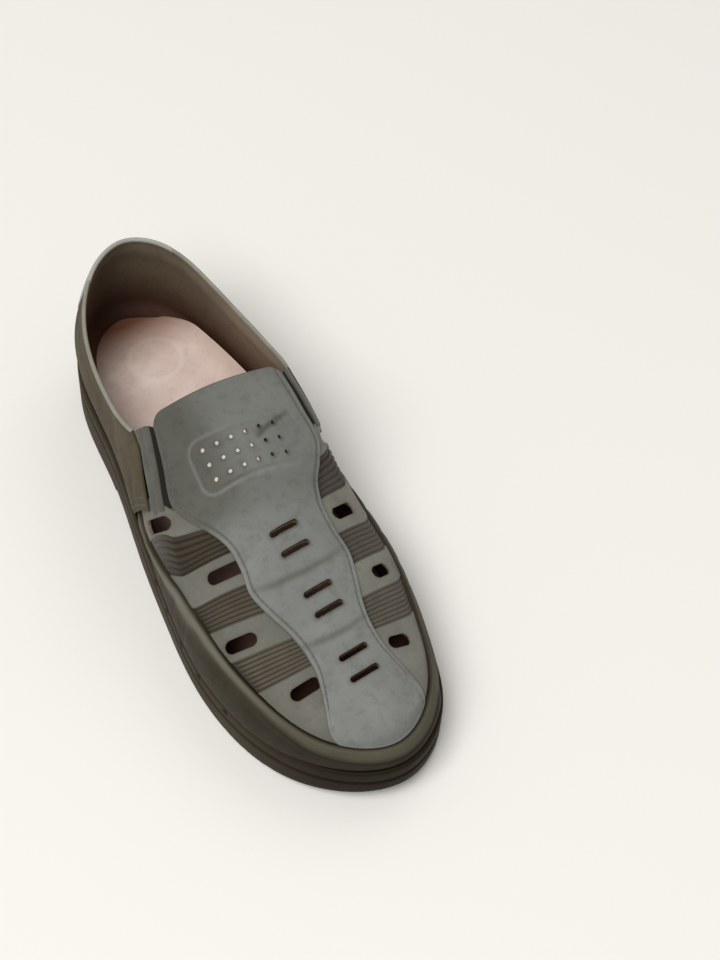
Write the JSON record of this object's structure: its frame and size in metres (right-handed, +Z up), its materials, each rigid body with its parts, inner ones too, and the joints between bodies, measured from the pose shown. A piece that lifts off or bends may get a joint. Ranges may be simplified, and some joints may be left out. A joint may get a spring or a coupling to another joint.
{
  "type": "slip-on shoe",
  "caption": "Right slip-on loafer with a slotted centre plug, ribbed side bands between slotted straps, elastic gores, bound collar and moulded sole, standing on its heel and forefoot.",
  "frame": {"origin": "centre of the sole's plan box, on the floor", "axes": "+Y towards the heel, -Y towards the toe, +X towards the medial side, +Z up"},
  "size_m": [0.1076, 0.292, 0.0934],
  "materials": {
    "sole_rubber": "matt dark brown moulded rubber",
    "upper_leather": "grey nubuck leather, browner low down",
    "plug_leather": "grey nubuck leather",
    "ribbed_textile": "olive brown ribbed textile",
    "elastic": "grey elastic webbing",
    "binding_leather": "light grey folded leather",
    "tab_leather": "light grey leather",
    "insole_leather": "pinkish beige lining leather"
  },
  "bodies": {
    "root": {"sole_unit": "sole_rubber", "upper": "upper_leather", "vamp_plug": "plug_leather", "ribbed_band_lateral_1": "ribbed_textile", "ribbed_band_lateral_2": "ribbed_textile", "ribbed_band_lateral_3": "ribbed_textile", "ribbed_band_medial_1": "ribbed_textile", "ribbed_band_medial_2": "ribbed_textile", "ribbed_band_medial_3": "ribbed_textile", "gore_lateral": "elastic", "gore_medial": "elastic", "binding_lateral": "binding_leather", "binding_medial": "binding_leather", "heel_tab": "tab_leather", "insole": "insole_leather"}
  },
  "joints": []
}
